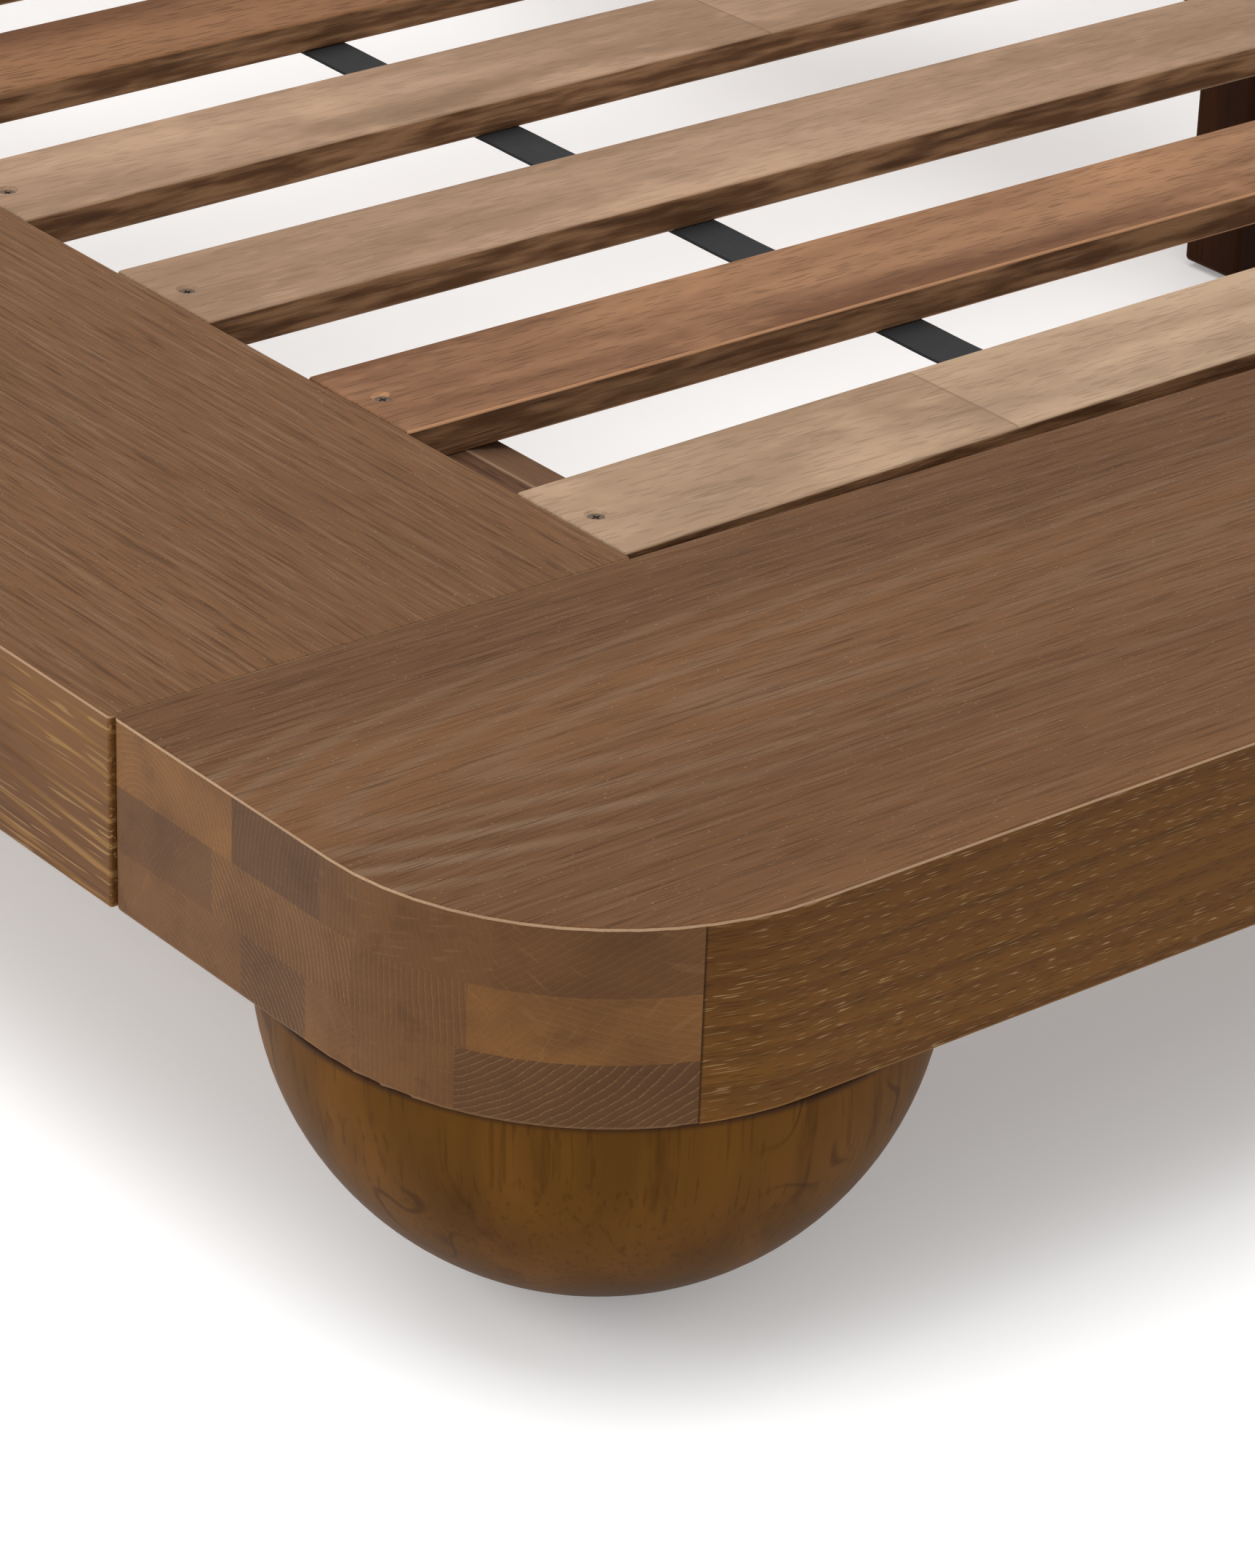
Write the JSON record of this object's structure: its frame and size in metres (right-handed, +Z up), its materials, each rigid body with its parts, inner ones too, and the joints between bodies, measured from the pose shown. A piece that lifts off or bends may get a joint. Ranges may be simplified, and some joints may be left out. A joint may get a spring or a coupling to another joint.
{
  "type": "platform bed frame",
  "caption": "Low wooden platform bed frame with thick flush rails, rounded outer corners, half-ball feet, cross slats on cleats, webbing straps and a centre beam on legs.",
  "frame": {"origin": "on the floor, under the middle of the bed", "axes": "+X across the bed, +Y from the foot end to the head end, +Z up"},
  "size_m": [2.08, 2.15, 0.205],
  "materials": {
    "veneer_oak": "oiled, satin",
    "end_rail_oak": "oiled, satin",
    "face_board_oak": "oiled, satin",
    "side_rail_oak": "oiled, satin",
    "turned_foot_wood": "oiled, satin",
    "slat_wood": "bare, matte",
    "cleat_wood": "bare, matte",
    "leg_wood": "oiled, satin",
    "dowel_wood": "bare, matte",
    "strap_webbing": "woven, matte",
    "glide_felt": "felt",
    "bracket_steel": "black powder coat",
    "insert_brass": "machined",
    "screw_black": "black phosphate",
    "fastener_zinc": "zinc plated"
  },
  "bodies": {
    "root": {"ball_foot_foot_left": "turned_foot_wood", "ball_foot_foot_right": "turned_foot_wood", "ball_foot_head_left": "turned_foot_wood", "ball_foot_head_right": "turned_foot_wood", "beam_shoe_foot": "bracket_steel", "beam_shoe_head": "bracket_steel", "bracket_bolts": "fastener_zinc", "bracket_inserts": "insert_brass", "bracket_washers": "fastener_zinc", "center_beam": "cleat_wood", "center_leg_foot": "leg_wood", "center_leg_head": "leg_wood", "cleat_left": "cleat_wood", "cleat_right": "cleat_wood", "cleat_screws": "screw_black", "corner_block_foot_left": "cleat_wood", "corner_block_foot_right": "cleat_wood", "corner_block_head_left": "cleat_wood", "corner_block_head_right": "cleat_wood", "corner_block_screws": "screw_black", "corner_bracket_foot_left": "bracket_steel", "corner_bracket_foot_right": "bracket_steel", "corner_bracket_head_left": "bracket_steel", "corner_bracket_head_right": "bracket_steel", "foot_bolts": "fastener_zinc", "foot_glides": "glide_felt", "foot_inserts": "insert_brass", "foot_rail_core": "end_rail_oak", "foot_rail_face_board": "face_board_oak", "foot_rail_veneer": "veneer_oak", "head_rail_core": "end_rail_oak", "head_rail_face_board": "face_board_oak", "head_rail_veneer": "veneer_oak", "leg_bolts": "fastener_zinc", "leg_glides": "glide_felt", "leg_inserts": "insert_brass", "rail_dowels": "dowel_wood", "shoe_screws": "screw_black", "side_rail_left_core": "side_rail_oak", "side_rail_left_veneer": "veneer_oak", "side_rail_right_core": "side_rail_oak", "side_rail_right_veneer": "veneer_oak", "slat_01": "slat_wood", "slat_02": "slat_wood", "slat_03": "slat_wood", "slat_04": "slat_wood", "slat_05": "slat_wood", "slat_06": "slat_wood", "slat_07": "slat_wood", "slat_08": "slat_wood", "slat_09": "slat_wood", "slat_10": "slat_wood", "slat_11": "slat_wood", "slat_12": "slat_wood", "slat_screws": "screw_black", "strap_left": "strap_webbing", "strap_right": "strap_webbing", "strap_staples": "fastener_zinc"}
  },
  "joints": []
}
